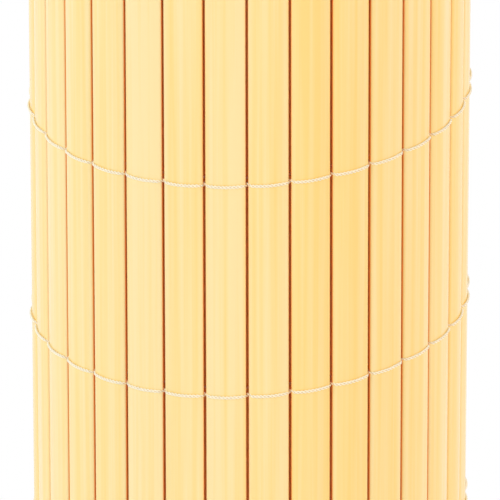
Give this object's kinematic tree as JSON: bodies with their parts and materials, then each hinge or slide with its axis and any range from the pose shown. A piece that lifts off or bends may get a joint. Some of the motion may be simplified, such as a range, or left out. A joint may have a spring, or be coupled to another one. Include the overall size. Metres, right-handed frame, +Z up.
{
  "type": "pvc reed screening mat",
  "caption": "Rolled garden screening mat of hollow cream plastic slats laid side by side and tied by evenly spaced rows of twisted twine, standing on its end.",
  "frame": {"origin": "under the middle of the roll, on the surface that it stands on", "axes": "+Z up along the roll's axis and the slats, -Y towards the viewer of the picture, +X to the viewer's right"},
  "size_m": [0.1946, 0.199, 1],
  "materials": {
    "slat_pvc": "satin extruded PVC, cream yellow",
    "twine": "twisted synthetic twine, off-white"
  },
  "bodies": {
    "root": {"slat_mat": "slat_pvc", "twine_row_01": "twine", "twine_row_02": "twine", "twine_row_03": "twine", "twine_row_04": "twine", "twine_row_05": "twine", "twine_row_06": "twine", "twine_row_07": "twine", "twine_row_08": "twine", "twine_row_09": "twine", "twine_row_10": "twine"}
  },
  "joints": []
}
